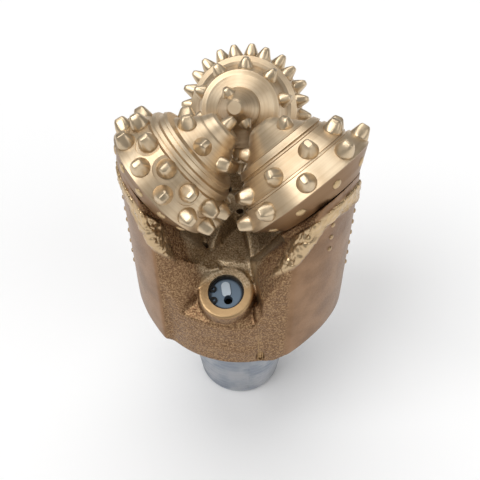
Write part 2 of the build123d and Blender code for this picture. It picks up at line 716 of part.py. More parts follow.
# ---- Cones -----------------------------------------------------------------------------------------
def gauge_line(s):
    """Radius about the journal at which a cone's surface lies just inside the gauge circle."""
    return (JOURNAL_INSET - CONE_GAUGE_INSET + s * COS) / SIN


def outer_surface(cone):
    return [(s, gauge_line(s)) for s in (CONE_BACK, cone["corner"])] + list(cone["outline"])


def seat(cone, station):
    """Radius and slope angle of the cone's outer surface at a station."""
    points = outer_surface(cone)
    for (s0, q0), (s1, q1) in zip(points, points[1:]):
        if s0 <= station < s1:
            return q0 + (q1 - q0) * (station - s0) / (s1 - s0), math.atan2(q1 - q0, s1 - s0)
    return 0.0, -math.pi / 2


def seat_plane(cone, station, angle):
    """Tangent plane of the cone at a station and an angle about the journal, x towards the nose."""
    section = journal_section()
    q, slope = seat(cone, station)
    outward = section.y_dir * math.cos(angle) + section.z_dir * math.sin(angle)
    origin = section.origin + section.x_dir * station + outward * q
    along_surface = section.x_dir * math.cos(slope) + outward * math.sin(slope)
    normal = outward * math.cos(slope) - section.x_dir * math.sin(slope)
    return Plane(origin=origin, x_dir=along_surface, z_dir=normal)


def row_places(cone, inserts):
    pitch = 2 * math.pi / inserts["count"]
    turns = [(k + inserts["phase"]) * pitch for k in range(inserts["count"])]
    return [seat_plane(cone, inserts["station"], angle) for angle in turns]


def gauge_button_places(cone):
    pitch = 2 * math.pi / cone["buttons"]
    middle = (CONE_BACK + cone["corner"]) / 2
    return [seat_plane(cone, middle, (k + 0.5) * pitch) for k in range(cone["buttons"])]


def bore_outline():
    """The cone's inner surfaces from the nose back to the seal."""
    thrust = THRUST_DISC_RADIUS + PRESS_CLEARANCE
    race_step = RACE_JOURNAL_END + END_GAP
    return [
        (THRUST_END, 0), (THRUST_END, thrust), (THRUST_START, thrust), (THRUST_START, PILOT_BORE),
        (race_step, PILOT_BORE), (race_step, RACE_BORE), (BUSH_END, RACE_BORE), (BUSH_END, BUSH_SEAT),
        (GLAND_END, BUSH_SEAT), (GLAND_END, GLAND_RADIUS), (GLAND_START, GLAND_RADIUS),
        (GLAND_START, CONE_LIP_RADIUS), (CONE_BACK, CONE_LIP_RADIUS),
    ]


def cone_shell(cone):
    surface = outer_surface(cone)
    with BuildPart() as shell:
        add(on_journal_with_race(surface + [(surface[-1][0], 0)] + bore_outline()))
        for inserts in cone["rows"]:
            hole = inserts["radius"] + INSERT_CLEARANCE
            places = row_places(cone, inserts)
            with Locations(*[place.offset(-inserts["depth"]) for place in places]):
                Cylinder(hole, inserts["depth"] + inserts["height"], align=UPWARD, mode=Mode.SUBTRACT)
            if inserts["crater"]:
                with Locations(*[place.offset(-inserts["crater"]) for place in places]):
                    Cylinder(hole + CRATER_MARGIN, inserts["height"], align=UPWARD, mode=Mode.SUBTRACT)
        with Locations(*[place.offset(-GAUGE_BUTTON_DEPTH) for place in gauge_button_places(cone)]):
            Cylinder(GAUGE_BUTTON_RADIUS + BUTTON_CLEARANCE, 2 * GAUGE_BUTTON_DEPTH, align=UPWARD,
                     mode=Mode.SUBTRACT)
    return shell.part


def insert_solid(inserts):
    """A carbide insert standing on z = 0: a round grip, and a tapered head with a chisel crest along x."""
    radius, height, half_crest = inserts["radius"], inserts["height"], inserts["crest"] / 2
    with BuildPart() as piece:
        with BuildSketch(Plane.XZ):
            with BuildLine():
                Polyline((0, -inserts["depth"]), (radius, -inserts["depth"]), (radius, 0),
                         (half_crest, height), (0, height), close=True)
            make_face()
        revolve(axis=Axis.Z)
        with BuildSketch(Plane.YZ):
            with BuildLine():
                Polyline((CREST_WIDTH / 2, height), (2 * radius, height), (2 * radius, FLANK_FOOT),
                         (radius, FLANK_FOOT), close=True)
            make_face()
            mirror(about=Plane.YZ)
        extrude(amount=radius, both=True, mode=Mode.SUBTRACT)
        fillet(piece.faces().sort_by(Axis.Z)[-1].edges(), CREST_ROUND)
    return piece.part


def insert_row(cone, inserts):
    solid = insert_solid(inserts)
    with BuildPart() as group:
        with Locations(*row_places(cone, inserts)):
            add(solid)
    return group.part


def gauge_buttons(cone):
    with BuildPart() as buttons:
        with Locations(*[place.offset(-GAUGE_BUTTON_DEPTH) for place in gauge_button_places(cone)]):
            Cylinder(GAUGE_BUTTON_RADIUS, GAUGE_BUTTON_DEPTH, align=UPWARD)
    return buttons.part


def bearing_pieces():
    """The bush, thrust disc, seal and balls between a journal and its cone, by name."""
    section = journal_section()
    bush_outline = ((GLAND_END, BUSH_INNER), (GLAND_END, BUSH_OUTER),
                    (BUSH_END, BUSH_OUTER), (BUSH_END, BUSH_INNER))
    disc_outline = ((THRUST_START, 0), (THRUST_START, THRUST_DISC_RADIUS),
                    (THRUST_END, THRUST_DISC_RADIUS), (THRUST_END, 0))
    seal_radius = MAIN_RADIUS + SEAL_RUNNING_GAP + SEAL_SECTION_RADIUS
    angles = [2 * math.pi * k / BALL_COUNT for k in range(BALL_COUNT)]
    spokes = [section.y_dir * math.cos(angle) + section.z_dir * math.sin(angle) for angle in angles]
    middle = section.origin + section.x_dir * RACE_STATION
    with BuildPart() as balls:
        with Locations(*[middle + spoke * RACE_RADIUS for spoke in spokes]):
            Sphere(BALL_DIAMETER / 2)
    return {
        "journal_bush": on_journal(bush_outline),
        "thrust_disc": on_journal(disc_outline),
        "cone_seal": torus_at((GLAND_START + GLAND_END) / 2, seal_radius, SEAL_SECTION_RADIUS),
        "bearing_balls": balls.part,
    }


# ---- Build -----------------------------------------------------------------------------------------
os.makedirs("parts", exist_ok=True)

blank = leg_blank()
each_leg = {"ball_plug": ball_plug(), "nozzle": nozzle(), **reservoir_pieces(), **bearing_pieces()}
for number, cone in enumerate(CONES):
    write(f"leg_{number + 1}", turn(number) * leg_with_holes(number, blank))
    for name, solid in each_leg.items():
        write(f"{name}_{number + 1}", turn(number) * solid)
    write(f"cone_{number + 1}", turn(number) * cone_shell(cone))
    write(f"cone_{number + 1}_gauge_buttons", turn(number) * gauge_buttons(cone))
    for inserts in cone["rows"]:
        write(f"cone_{number + 1}_{inserts['name']}", turn(number) * insert_row(cone, inserts))

shared = {
    "nozzle_o_rings": o_ring(),
    "nozzle_snap_rings": snap_ring(boss_plane(), POCKET_RADIUS, NOZZLE_RING_INSET),
    "reservoir_snap_rings": snap_ring(reservoir_plane(), RESERVOIR_RADIUS, CAP_INSET),
    "weld_seams": weld(-SEAM_LAG),
    "shirttail_hardfacing": crust(),
}
for name, solid in shared.items():
    write(name, [turn(number) * solid for number in range(LEGS)])
write("shirttail_buttons", [turn(number) * leg_buttons(number) for number in range(LEGS)])
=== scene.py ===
import math

import bmesh
import bpy
import numpy as np
from mathutils import Matrix, Vector, noise


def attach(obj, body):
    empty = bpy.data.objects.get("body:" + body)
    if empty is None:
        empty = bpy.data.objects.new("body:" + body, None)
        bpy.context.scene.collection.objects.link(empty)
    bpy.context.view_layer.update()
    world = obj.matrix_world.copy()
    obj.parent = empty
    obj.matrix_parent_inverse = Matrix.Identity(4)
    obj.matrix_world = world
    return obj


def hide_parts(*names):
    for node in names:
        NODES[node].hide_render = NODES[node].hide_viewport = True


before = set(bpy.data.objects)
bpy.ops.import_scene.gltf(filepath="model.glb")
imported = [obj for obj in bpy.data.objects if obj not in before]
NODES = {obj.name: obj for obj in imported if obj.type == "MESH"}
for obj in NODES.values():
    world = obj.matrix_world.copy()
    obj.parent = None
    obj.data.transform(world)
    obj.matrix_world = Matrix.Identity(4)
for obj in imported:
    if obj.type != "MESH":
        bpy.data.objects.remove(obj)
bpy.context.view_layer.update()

LEGS = (1, 2, 3)
UP = Vector((0, 0, 1))

# ---- Sizes of the bit, in metres -------------------------------------------------------------------
# A leg's own frame has x outward through its journal, y towards the nozzle ahead of it, and z up.
SHOULDER = 0.09525
CUT_HEIGHT = 0.0960          # the cast body above it is new, the pin below it is the CAD's
CORE_RADIUS = 0.069          # of the body between the legs, where the welds lie
PAD_RADIUS = 0.0735          # beyond it a leg's outside is smooth
SEAM_LAG = 39.0              # degrees from a leg's middle back to its seam

JOURNAL_REACH = 0.0489
JOURNAL_Z = 0.227
JOURNAL_OFFSET = 0.004
JOURNAL_TILT = math.radians(36)
JOURNAL_ROOM = 0.033         # radius about a journal that keeps the solids' own shape
ARM_FACE = -0.017            # along the journal
NOSE_PULL = 0.012            # how far the way out of a cone leans towards its nose

NOZZLE_LEAD = math.radians(60)
NOZZLE_TILT = math.radians(18)
NOZZLE_REACH = 0.054
NOZZLE_RISE = 0.06475        # above the shoulder
RING_RADIUS = 0.0172         # of the machined face round a pocket
RESERVOIR_REACH = 0.053
RESERVOIR_RUN = 0.01485      # outward and up from the shoulder, along the bevel
VENT_ANGLE = math.radians(24.7)
VENT_REACH = 0.033
VENT_Z = 0.166
MIDDLE_VENT_Z = 0.180

# A hole is filled before the casting is blended and cut anew after it: radius, start and end on its axis
NOZZLE_FILL, NOZZLE_POCKET = (0.0128, -0.0219, 0), (0.0115, -0.0215, 0.03)
RESERVOIR_FILL, RESERVOIR_WELL = (0.0133, -0.0262, 0), (0.012, -0.026, 0.03)
VENT_FILL, VENT_HOLE = (0.0030, -0.012, -0.0012), (0.0025, -0.010, 0.02)
PLUG_FILL = (0.009, -0.040, -0.014)
PLUG_LIMIT = (0.0744, 0.1, 0.3)

CRUST_WIDTH = 0.0075         # of the hardfacing, in the middle of an arm
CRUST_FLARE = 0.006          # how much wider it is at the arm's sides
CRUST_WAVE = 0.0012          # how far its edge wanders
WELD_PITCH = 0.0034          # from one ripple of a weld to the next
CREST_LENGTH = 0.50          # half the crest of a chisel insert, as a share of its radius
CREST_WIDTH = 0.34
GAUGE_CROWN = 0.0009         # height of a gauge button's dome
LEG_CROWN = 0.0010
LEG_BUTTON_SHARE = 0.55      # of the solid's radius
LEG_BUTTON_DROP = 0.0007     # how much lower a leg button stands than its solid

VOXEL = 0.0008
SOFT_ROUNDS = 24
BEAD_VOXEL = 0.0006
WELD_VOXEL = 0.0005
SQUARE = ((-1, -1), (1, -1), (1, 1), (-1, 1))     # wider than the bit


def leg_turn(leg):
    return Matrix.Rotation(math.radians(90 + 120 * (leg - 1)), 4, "Z")


def journal_frame(leg):
    """Origin of a journal and its direction, towards the cone's nose."""
    turn = leg_turn(leg)
    origin = turn @ Vector((JOURNAL_REACH, JOURNAL_OFFSET, JOURNAL_Z))
    return origin, turn.to_3x3() @ Vector((-math.cos(JOURNAL_TILT), 0, math.sin(JOURNAL_TILT)))


def nozzle_frame(leg):
    """Middle of a nozzle's face and the way its jet leaves."""
    ahead, aside, tilt = math.cos(NOZZLE_LEAD), math.sin(NOZZLE_LEAD), NOZZLE_TILT
    out = Vector((math.sin(tilt) * ahead, math.sin(tilt) * aside, math.cos(tilt)))
    place = Vector((NOZZLE_REACH * ahead, NOZZLE_REACH * aside, SHOULDER + NOZZLE_RISE))
    turn = leg_turn(leg)
    return turn @ place, turn.to_3x3() @ out


def reservoir_frame(leg):
    """Middle of a reservoir's mouth and the way out of it."""
    run = RESERVOIR_RUN / math.sqrt(2)
    turn = leg_turn(leg)
    place = turn @ Vector((RESERVOIR_REACH + run, 0, SHOULDER + run))
    return place, turn.to_3x3() @ Vector((1, 0, -1)).normalized()


def vents(leg):
    """Tops of the small holes in the dome."""
    reach = Vector((VENT_REACH * math.cos(VENT_ANGLE), VENT_REACH * math.sin(VENT_ANGLE), VENT_Z))
    return [leg_turn(leg) @ reach] + ([Vector((0, 0, MIDDLE_VENT_Z))] if leg == 1 else [])


# ---- Mesh helpers ----------------------------------------------------------------------------------
def new_object(name, data):
    obj = bpy.data.objects.new(name, data)
    bpy.context.scene.collection.objects.link(obj)
    return obj


def built(name, bm):
    """A new object from a bmesh, which is freed."""
    mesh = bpy.data.meshes.new(name)
    bm.to_mesh(mesh)
    bm.free()
    return new_object(name, mesh)


def drop(*objs):
    for obj in objs:
        mesh = obj.data
        bpy.data.objects.remove(obj)
        bpy.data.meshes.remove(mesh)


def baked(obj):
    """The object's mesh with its modifiers applied."""
    depsgraph = bpy.context.evaluated_depsgraph_get()
    mesh = bpy.data.meshes.new_from_object(obj.evaluated_get(depsgraph))
    old = obj.data
    obj.modifiers.clear()
    obj.data = mesh
    bpy.data.meshes.remove(old)
    return obj


def closed_copy(name, node):
    """A copy of a CAD node with the import's split vertices joined."""
    bm = bmesh.new()
    bm.from_mesh(NODES[node].data)
    bmesh.ops.remove_doubles(bm, verts=bm.verts, dist=2e-6)
    return built(name, bm)


def joined(name, objs):
    bm = bmesh.new()
    for obj in objs:
        bm.from_mesh(obj.data)
    drop(*objs)
    return built(name, bm)


def rod(name, origin, axis, radius, start, end, sides=96):
    """A closed round bar along an axis from start to end."""
    bm = bmesh.new()
    turn = axis.to_track_quat("Z", "Y").to_matrix().to_4x4()
    place = Matrix.Translation(origin + axis * (start + end) / 2) @ turn
    bmesh.ops.create_cone(bm, cap_ends=True, segments=sides, radius1=radius, radius2=radius,
                          depth=end - start, matrix=place)
    return built(name, bm)


def prism(name, corners, low, high):
    """An upright bar over corners in the plan."""
    bm = bmesh.new()
    base = [bm.verts.new((x, y, low)) for x, y in corners]
    face = bm.faces.new(base)
    top = bmesh.ops.extrude_face_region(bm, geom=[face])
    verts = [v for v in top["geom"] if isinstance(v, bmesh.types.BMVert)]
    bmesh.ops.translate(bm, verts=verts, vec=(0, 0, high - low))
    bmesh.ops.recalc_face_normals(bm, faces=bm.faces)
    return built(name, bm)


def hull(name, corners):
    """A convex solid round some points."""
    bm = bmesh.new()
    verts = [bm.verts.new(corner) for corner in corners]
    bmesh.ops.convex_hull(bm, input=verts)
    loose = [v for v in bm.verts if not v.link_faces]
    bmesh.ops.delete(bm, geom=loose, context="VERTS")
    bmesh.ops.recalc_face_normals(bm, faces=bm.faces)
    return built(name, bm)


def boolean(obj, operation, *tools):
    """Changes an object by each tool in turn, and drops the tools."""
    for tool in tools:
        modifier = obj.modifiers.new("cut", "BOOLEAN")
        modifier.operation = operation
        modifier.solver = "MANIFOLD"
        modifier.object = tool
        baked(obj)
        drop(tool)
    return obj


def voxels(obj, size):
    modifier = obj.modifiers.new("voxels", "REMESH")
    modifier.mode = "VOXEL"
    modifier.voxel_size = size
    return baked(obj)


def soften(obj, weights, rounds, factor):
    """Smooths a mesh, each vertex as much as its weight from 0 to 1."""
    group = obj.vertex_groups.new(name="soft")
    steps = np.clip(np.round(weights * 10), 0, 10).astype(int)
    for step in range(1, 11):
        picked = np.nonzero(steps == step)[0].tolist()
        if picked:
            group.add(picked, step / 10, "REPLACE")
    modifier = obj.modifiers.new("soft", "SMOOTH")
    modifier.factor = factor
    modifier.iterations = rounds
    modifier.vertex_group = group.name
    baked(obj)
    obj.vertex_groups.clear()
    return obj


def coordinates(mesh):
    values = np.empty(3 * len(mesh.vertices))
    mesh.vertices.foreach_get("co", values)
    return values.reshape(-1, 3)


def normals(mesh):
    values = np.empty(3 * len(mesh.vertices), dtype=np.float32)
    mesh.vertex_normals.foreach_get("vector", values)
    return values.reshape(-1, 3).astype(float)


def push(obj, amounts):
    """Moves each vertex along its normal."""
    points = coordinates(obj.data) + normals(obj.data) * amounts[:, None]
    obj.data.vertices.foreach_set("co", points.ravel())
    obj.data.update()


def wobble(points, size, seed=0.0):
    """Smooth noise from -1 to 1 at each point."""
    return np.array([noise.noise(Vector(p) / size + Vector((seed, 0, 0))) for p in points])


def lumps(points, size, seed=0.0):
    """Rounded lumps from 0 to 1, one per cell of about this size."""
    near = np.array([noise.voronoi(Vector(p) / size + Vector((seed, 0, 0)))[0][0] for p in points])
    return np.sqrt(np.clip(1 - (near / 0.75) ** 2, 0, 1))


def ramp(values, low, high):
    """0 up to low, 1 from high on, and straight in between."""
    return np.clip((values - low) / (high - low), 0, 1)


def smooth_shade(obj, angle=None):
    """Smooth shading, with edges sharper than an angle in degrees left as edges."""
    obj.data.shade_smooth()
    if angle is not None:
        obj.data.set_sharp_from_angle(angle=math.radians(angle))


# ---- The leg's zones -------------------------------------------------------------------------------
def in_leg(points, leg):
    """Points in a leg's own frame: x outward through the journal."""
    turn = np.array(leg_turn(leg).inverted().to_3x3())
    return points @ turn.T


def station(local):
    """Distance along the journal towards the nose."""
    out, rise = local[:, 0] - JOURNAL_REACH, local[:, 2] - JOURNAL_Z
    return -out * math.cos(JOURNAL_TILT) + rise * math.sin(JOURNAL_TILT)


def around_journal(local):
    """Distance from the journal's axis."""
    out, rise = local[:, 0] - JOURNAL_REACH, local[:, 2] - JOURNAL_Z
    across = out * math.sin(JOURNAL_TILT) + rise * math.cos(JOURNAL_TILT)
    return np.hypot(across, local[:, 1] - JOURNAL_OFFSET)


def from_axis(points):
    """Distance from the bit's axis."""
    return np.hypot(points[:, 0], points[:, 1])


def crust_zone(points):
    """How much of the hardfacing lies at each point, from 0 to 1."""
    zone = np.zeros(len(points))
    for leg in LEGS:
        local = in_leg(points, leg)
        side = np.arctan2(local[:, 1], local[:, 0])
        behind = ARM_FACE - station(local)
        width = CRUST_WIDTH + CRUST_FLARE * ramp(np.abs(side), 0.2, 0.45)
        width += CRUST_WAVE * np.sin(11 * side + 2 * leg)
        here = (1 - ramp(behind, width - 0.002, width)) * ramp(behind, -0.001, 0.0)
        here *= ramp(from_axis(points), 0.062, 0.068) * (np.abs(side) < 0.75)
        zone = np.maximum(zone, here)
    return zone


def ring_zone(points):
    """The machined flat faces round the nozzle pockets."""
    zone = np.zeros(len(points))
    for leg in LEGS:
        place, out = nozzle_frame(leg)
        offset = points - np.array(place)
        height = offset @ np.array(out)
        reach = np.linalg.norm(offset - height[:, None] * np.array(out), axis=1)
        flat = np.abs(height) < 0.0035
        zone = np.maximum(zone, (1 - ramp(reach, RING_RADIUS, RING_RADIUS + 0.0008)) * flat)
    return zone


def set_attribute(obj, name, values):
    attribute = obj.data.attributes.new(name, "FLOAT", "POINT")
    attribute.data.foreach_set("value", values.astype(np.float32))


# ---- Cast body -------------------------------------------------------------------------------------
# Corners in millimetres of a leg's frame
LEADING_GUSSET = ((62, 32, 112), (66, 31, 182), (54, 31, 186), (34, 31, 172), (26, 33, 160),
                  (40, 37, 159), (48, 38, 157), (56, 40, 147), (56, 40, 112), (40, 20, 112))
TRAILING_GUSSET = ((62, -32, 112), (66, -30, 178), (46, -42, 156), (52, -46, 146), (52, -44, 112),
                   (30, -30, 112))
ARM_CORNER = ((68.5, -30.5), (52, -46), (60, -80), (120, -80), (120, -30.5))
# A point on each sloping side of an arm, the way it faces, and the height it starts from
ARM_SLOPES = (((44, -43, 157), (-0.35, -0.85, 0.38), 157), ((46, 33, 166), (-0.6, 0.85, 0.3), 167))


def in_bit(leg, corners):
    """Corners in millimetres of a leg's frame, as places in the bit."""
    return [leg_turn(leg) @ (Vector(corner) / 1000) for corner in corners]


def gussets(leg):
    """The cast slopes between an arm and the nozzle bosses beside it."""
    return [hull(f"gusset_trailing_{leg}", in_bit(leg, TRAILING_GUSSET)),
            hull(f"gusset_leading_{leg}", in_bit(leg, LEADING_GUSSET))]


def arm_corner(leg):
    """What the sloping flank leaves off an arm's trailing side."""
    corners = [(leg_turn(leg) @ Vector((x / 1000, y / 1000, 0))).to_2d() for x, y in ARM_CORNER]
    return prism(f"corner_{leg}", corners, 0.090, 0.26)


def arm_slopes(leg):
    """What slopes the arm's two sides down towards the bosses."""
    slabs = []
    for point, direction, low in ARM_SLOPES:
        normal = Vector(direction).normalized()
        side = normal.cross(UP).normalized()
        up = side.cross(normal)
        corners = [Vector(point) + side * 120 * a + up * 120 * b + normal * 150 * c
                   for a in (-1, 1) for b in (-1, 1) for c in (0, 1)]
        slab = hull(f"slope_{leg}", in_bit(leg, corners))
        slabs.append(boolean(slab, "INTERSECT", prism("above", SQUARE, low / 1000, 0.5)))
    return slabs


def sloped(piece, leg):
    """A piece of a leg, less what the arm's corner and slopes leave off."""
    return boolean(piece, "DIFFERENCE", arm_corner(leg), *arm_slopes(leg))


def filled_legs():
    """The three legs in one, with their holes filled and the slopes beside the arms."""
    parts = [sloped(closed_copy(f"blank_{leg}", f"leg_{leg}"), leg) for leg in LEGS]
    for leg in LEGS:
        parts.append(rod(f"fill_nozzle_{leg}", *nozzle_frame(leg), *NOZZLE_FILL))
        parts.append(rod(f"fill_reservoir_{leg}", *reservoir_frame(leg), *RESERVOIR_FILL))
        plug = rod(f"fill_plug_{leg}", *journal_frame(leg), *PLUG_FILL)
        parts.append(boolean(plug, "INTERSECT", rod("limit", Vector(), UP, *PLUG_LIMIT, 192)))
        parts += gussets(leg)
        for place in vents(leg):
            parts.append(rod(f"fill_vent_{leg}", place, UP, *VENT_FILL))
    for foot, axis, radius, _, top in seats("shirttail_buttons", from_bit_axis):
        parts.append(rod("fill_button", foot, axis, radius + 0.0004, -0.0004, top - LEG_BUTTON_DROP, 32))
    return joined("cast_body", parts)


def blend_weights(points):
    """How soft the casting is at each point: not at all round the bore, journals and pocket faces."""
    soft = ramp(points[:, 2], 0.0975, 0.1040) * ramp(from_axis(points), 0.0195, 0.022)
    for leg in LEGS:
        local = in_leg(points, leg)
        soft *= 1 - ramp(station(local), -0.0145, -0.0125) * (around_journal(local) < JOURNAL_ROOM)
    return soft * (1 - ring_zone(points))


def cast_skin(points, soft):
    """How far each point of the casting stands out: beads on the crust, and a cast or smooth skin."""
    zone = crust_zone(points)
    radius = from_axis(points)
    above = points[:, 2] > 0.104
    amounts = np.zeros(len(points))
    crusted = np.nonzero(zone > 0.01)[0]
    spots = points[crusted]
    bead = 0.75 * lumps(spots, 0.0048) + 0.45 * lumps(spots, 0.0026, 5.0) + 0.3 * wobble(spots, 0.0015)
    amounts[crusted] = zone[crusted] * (0.0002 + 0.0015 * bead)
    cast = np.nonzero(above & (radius > 0.022) & (radius < PAD_RADIUS))[0]
    spots = points[cast]
    rough = (0.00045 * wobble(spots, 0.011) + 0.00018 * wobble(spots, 0.0028, 3.0)) * soft[cast]
    amounts[cast] += rough * (1 - ring_zone(spots))
    pad = np.nonzero(above & (radius >= PAD_RADIUS) & (zone <= 0.01))[0]
    amounts[pad] += 0.00012 * wobble(points[pad], 0.012, 7.0) * soft[pad]
    return amounts


def cast_body():
    """The three legs above the shoulder as one blended casting, without their pockets."""
    body = voxels(filled_legs(), VOXEL)
    soft = blend_weights(coordinates(body.data))
    soften(body, soft, SOFT_ROUNDS, 0.6)
    push(body, cast_skin(coordinates(body.data), soft))
    return body


def wedge(leg, low, high):
    """A leg's third of the bit, from seam to seam."""
    corners = [(0, 0)]
    for angle in (-SEAM_LAG, 60 - SEAM_LAG, 120 - SEAM_LAG):
        a = math.radians(90 + 120 * (leg - 1) + angle)
        corners.append((0.4 * math.cos(a), 0.4 * math.sin(a)))
    return prism(f"wedge_{leg}", corners, low, high)


def cast_legs():
    """The casting cut back into its three legs, with crisp pockets."""
    body = cast_body()
    for leg in LEGS:
        pocket = rod(f"pocket_{leg}", *nozzle_frame(leg), *NOZZLE_POCKET)
        well = rod(f"well_{leg}", *reservoir_frame(leg), *RESERVOIR_WELL)
        holes = [rod("vent", place, UP, *VENT_HOLE, 48) for place in vents(leg)]
        boolean(body, "DIFFERENCE", pocket, well, *holes)
    for leg in LEGS:
        piece = new_object(f"cast_leg_{leg}", body.data.copy())
        boolean(piece, "INTERSECT", wedge(leg, CUT_HEIGHT, 0.4))
        smooth_shade(piece, 55)
        set_attribute(piece, "crust", crust_zone(coordinates(piece.data)))
        set_attribute(piece, "ring", ring_zone(coordinates(piece.data)))
        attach(piece, "bit_body")
        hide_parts(f"leg_{leg}")
        give(piece, MATERIALS["cast"])
    drop(body)


def threaded_pin():
    """The pin as one turned piece: the legs' thirds below the shoulder."""
    thirds = []
    for leg in LEGS:
        third = closed_copy(f"third_{leg}", f"leg_{leg}")
        thirds.append(boolean(third, "INTERSECT", prism(f"below_{leg}", SQUARE, -0.1, CUT_HEIGHT)))
    pin = thirds[0]
    pin.name = "threaded_pin"
    boolean(pin, "UNION", *thirds[1:])
    smooth_shade(pin, 30)
    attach(pin, "bit_body")
    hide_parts("leg_1", "leg_2", "leg_3")
    give(pin, MATERIALS["pin"])


def hardfacing():
    """The beads of hardfacing along the arms' edges, cut back with the arms."""
    bands = []
    for leg in LEGS:
        own = boolean(closed_copy(f"band_{leg}", "shirttail_hardfacing"), "INTERSECT", wedge(leg, 0.1, 0.4))
        bands.append(sloped(own, leg))
    band = voxels(joined("hardfacing_beads", bands), BEAD_VOXEL)
    points = coordinates(band.data)
    push(band, 0.0001 + 0.0009 * lumps(points, 0.0042, 2.0) + 0.0003 * lumps(points, 0.0021, 9.0))
    return band


def welds():
    """The welds in the seams, sunk a little and rippled like fish scales."""
    seam = voxels(closed_copy("weld_beads", "weld_seams"), WELD_VOXEL)
    points = coordinates(seam.data)
    across = np.zeros(len(points))
    for leg in LEGS:
        local = in_leg(points, leg)
        side = np.arctan2(local[:, 1], local[:, 0]) + math.radians(SEAM_LAG)
        across = np.where(np.abs(side) < 0.3, side * CORE_RADIUS, across)
    ripple = np.abs(np.sin((points[:, 2] + 40 * across**2) * math.pi / WELD_PITCH))
    face = ramp(from_axis(points), CORE_RADIUS - 0.0012, CORE_RADIUS + 0.0002)
    push(seam, face * (0.0004 * ripple - 0.0021 + 0.0004 * wobble(points, 0.003)))
    return seam


def crust_and_welds():
    for part, node, name, material in (
            (hardfacing(), "shirttail_hardfacing", "hardfacing", "hardfacing"),
            (welds(), "weld_seams", "weld_bead", "weld")):
        smooth_shade(part)
        give(part, MATERIALS[material])
        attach(part, "bit_body")
        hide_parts(node)


# ---- Inserts and buttons ---------------------------------------------------------------------------
def from_bit_axis(point):
    return Vector((point.x, point.y, 0))


def islands(mesh):
    """A mesh as a bmesh, and the faces of each separate solid in it."""
    bm = bmesh.new()
    bm.from_mesh(mesh)
    bmesh.ops.remove_doubles(bm, verts=bm.verts, dist=2e-6)
    seen = set()
    found = []
    for start in bm.faces:
        if start in seen:
            continue
        seen.add(start)
        stack, faces = [start], []
        while stack:
            face = stack.pop()
            faces.append(face)
            for edge in face.edges:
                for other in edge.link_faces:
                    if other not in seen:
                        seen.add(other)
                        stack.append(other)
        found.append(faces)
    return bm, found


def seats(node, towards):
    """Foot centre, axis, radius, seat height and top height of each insert in a CAD node."""
    bm, found = islands(NODES[node].data)
    places = []
    for faces in found:
        flats = {}
        for face in faces:
            flats.setdefault(tuple(round(c, 2) for c in face.normal), []).append(face)
        centre = sum((v.co for f in faces for v in f.verts), Vector()) / sum(len(f.verts) for f in faces)
        ends = sorted(flats.values(), key=lambda group: sum(f.calc_area() for f in group))[-2:]
        ends.sort(key=lambda group: group[0].normal.dot(towards(centre)))
        foot = ends[0] if len(ends[0]) > 3 else ends[-1]
        axis = -foot[0].normal.copy()
        corners = {v for f in foot for v in f.verts}
        middle = sum((v.co for v in corners), Vector()) / len(corners)
        reach = max((v.co - middle).length for v in corners)
        heights, wide = [], []
        for vert in {v for f in faces for v in f.verts}:
            offset = vert.co - middle
            height = offset.dot(axis)
            heights.append(height)
            if (offset - axis * height).length > 0.98 * reach:
                wide.append(height)
        places.append((middle, axis, reach, max(wide), max(heights)))
    bm.free()
    return places


def stacked(bm, place, rings):
    """A closed solid through rings of points in a local frame."""
    loops = [[bm.verts.new(place @ Vector(point)) for point in ring] for ring in rings]
    count = len(loops[0])
    for low, high in zip(loops, loops[1:]):
        for k in range(count):
            bm.faces.new((low[k], low[(k + 1) % count], high[(k + 1) % count], high[k]))
    bm.faces.new(list(reversed(loops[0])))
    bm.faces.new(loops[-1])


def oval(half_length, half_width, power, height, count=40):
    """A ring between an ellipse (power 2) and a rectangle (high power)."""
    points = []
    for k in range(count):
        c, s = math.cos(2 * math.pi * k / count), math.sin(2 * math.pi * k / count)
        x = half_length * math.copysign(abs(c) ** (2 / power), c)
        y = half_width * math.copysign(abs(s) ** (2 / power), s)
        points.append((x, y, height))
    return points


def chisel_rings(radius, seat, top):
    """An insert's grip and its tapered head, which ends in a rounded oblong crest."""
    half_length, half_width = CREST_LENGTH * radius, CREST_WIDTH * radius
    rings = [oval(radius, radius, 2, height) for height in (0, seat - 0.0003, seat + 0.0002)]
    for t in (0.12, 0.3, 0.5, 0.7, 0.86):
        bow = 1 - t**1.15
        length, width = half_length + (radius - half_length) * bow, half_width + (radius - half_width) * bow
        rings.append(oval(length, width, 2 + 1.6 * t, seat + (top - seat) * t))
    for t, share in ((0.94, 0.97), (0.98, 0.88), (1.0, 0.70)):
        rings.append(oval(half_length * share, half_width * share, 3.6, seat + (top - seat) * t))
    return rings


def dome_rings(radius, seat, crown):
    """A button's grip and its low dome."""
    rings = [oval(radius, radius, 2, 0, 32), oval(radius, radius, 2, seat, 32)]
    for angle in (18, 36, 54, 70, 82):
        a = math.radians(angle)
        rings.append(oval(radius * math.cos(a), radius * math.cos(a), 2, seat + crown * math.sin(a), 32))
    return rings


def gauge_button(radius, seat, top):
    return dome_rings(radius, seat, GAUGE_CROWN)


def leg_button(radius, seat, top):
    return dome_rings(radius * LEG_BUTTON_SHARE, seat - LEG_BUTTON_DROP, LEG_CROWN)


def new_inserts(node, body, material, towards, along, shape):
    """Inserts in place of a CAD node's, with their x turned along a direction."""
    bm = bmesh.new()
    for foot, axis, radius, seat, top in seats(node, towards):
        x = (along - axis * along.dot(axis)).normalized()
        place = Matrix.Translation(foot) @ Matrix((x, axis.cross(x), axis)).transposed().to_4x4()
        stacked(bm, place, shape(radius, seat, top))
    bmesh.ops.recalc_face_normals(bm, faces=bm.faces)
    obj = built(f"shown_{node}", bm)
    smooth_shade(obj, 50)
    give(obj, material)
    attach(obj, body)
    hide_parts(node)


